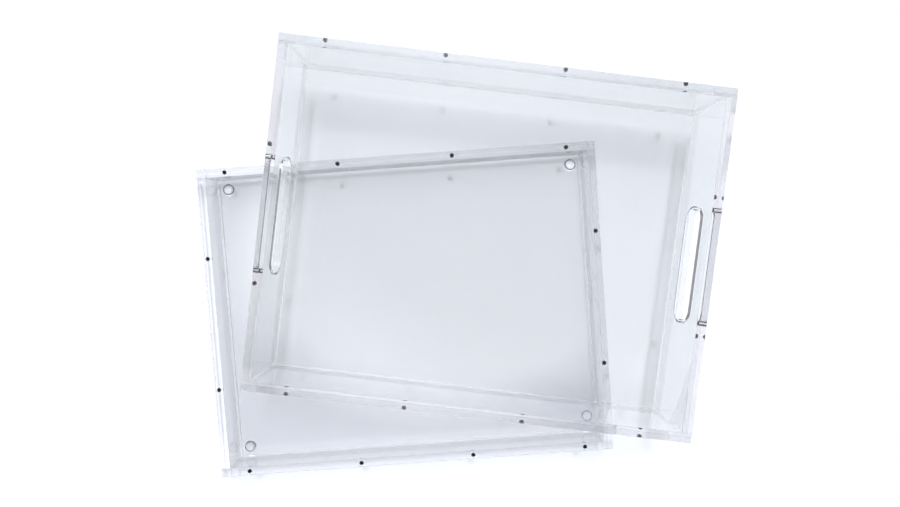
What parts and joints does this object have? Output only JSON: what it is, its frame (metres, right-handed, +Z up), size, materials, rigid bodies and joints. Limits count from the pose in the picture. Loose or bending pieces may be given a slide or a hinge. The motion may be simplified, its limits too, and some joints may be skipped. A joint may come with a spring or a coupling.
{
  "type": "magnetic acrylic tray set",
  "caption": "Deep clear acrylic tray with a hand slot at each end, laid askew on a matching shallow base tray that it closes on with edge magnets.",
  "frame": {"origin": "under the middle of the whole set's outline, on the surface that it stands on", "axes": "+X along the long side of the base, +Y towards its back rail, +Z up"},
  "size_m": [0.3708, 0.3022, 0.0793],
  "materials": {
    "clear_acrylic": "clear cast sheet with polished edges",
    "magnet_nickel": "dark nickel plate",
    "bumper_urethane": "clear soft urethane"
  },
  "bodies": {
    "base": {"base_back_rail": "clear_acrylic", "base_front_rail": "clear_acrylic", "base_left_rail": "clear_acrylic", "base_right_rail": "clear_acrylic", "base_floor": "clear_acrylic", "base_magnet_back_1": "magnet_nickel", "base_magnet_back_2": "magnet_nickel", "base_magnet_back_3": "magnet_nickel", "base_magnet_back_4": "magnet_nickel", "base_magnet_front_1": "magnet_nickel", "base_magnet_front_2": "magnet_nickel", "base_magnet_front_3": "magnet_nickel", "base_magnet_front_4": "magnet_nickel", "base_magnet_left_1": "magnet_nickel", "base_magnet_left_2": "magnet_nickel", "base_magnet_right_1": "magnet_nickel", "base_magnet_right_2": "magnet_nickel", "bumper_foot_back_left": "bumper_urethane", "bumper_foot_back_right": "bumper_urethane", "bumper_foot_front_left": "bumper_urethane", "bumper_foot_front_right": "bumper_urethane"},
    "tray": {"tray_back_wall": "clear_acrylic", "tray_front_wall": "clear_acrylic", "tray_left_wall": "clear_acrylic", "tray_right_wall": "clear_acrylic", "tray_floor": "clear_acrylic", "tray_magnet_back_1": "magnet_nickel", "tray_magnet_back_2": "magnet_nickel", "tray_magnet_back_3": "magnet_nickel", "tray_magnet_back_4": "magnet_nickel", "tray_magnet_front_1": "magnet_nickel", "tray_magnet_front_2": "magnet_nickel", "tray_magnet_front_3": "magnet_nickel", "tray_magnet_front_4": "magnet_nickel", "tray_magnet_left_1": "magnet_nickel", "tray_magnet_left_2": "magnet_nickel", "tray_magnet_right_1": "magnet_nickel", "tray_magnet_right_2": "magnet_nickel"}
  },
  "joints": [
    {"name": "tray_lift", "type": "slide", "parent": "base", "child": "tray", "axis": [0, 0, 1], "range_m": [0, 0.12]}
  ]
}
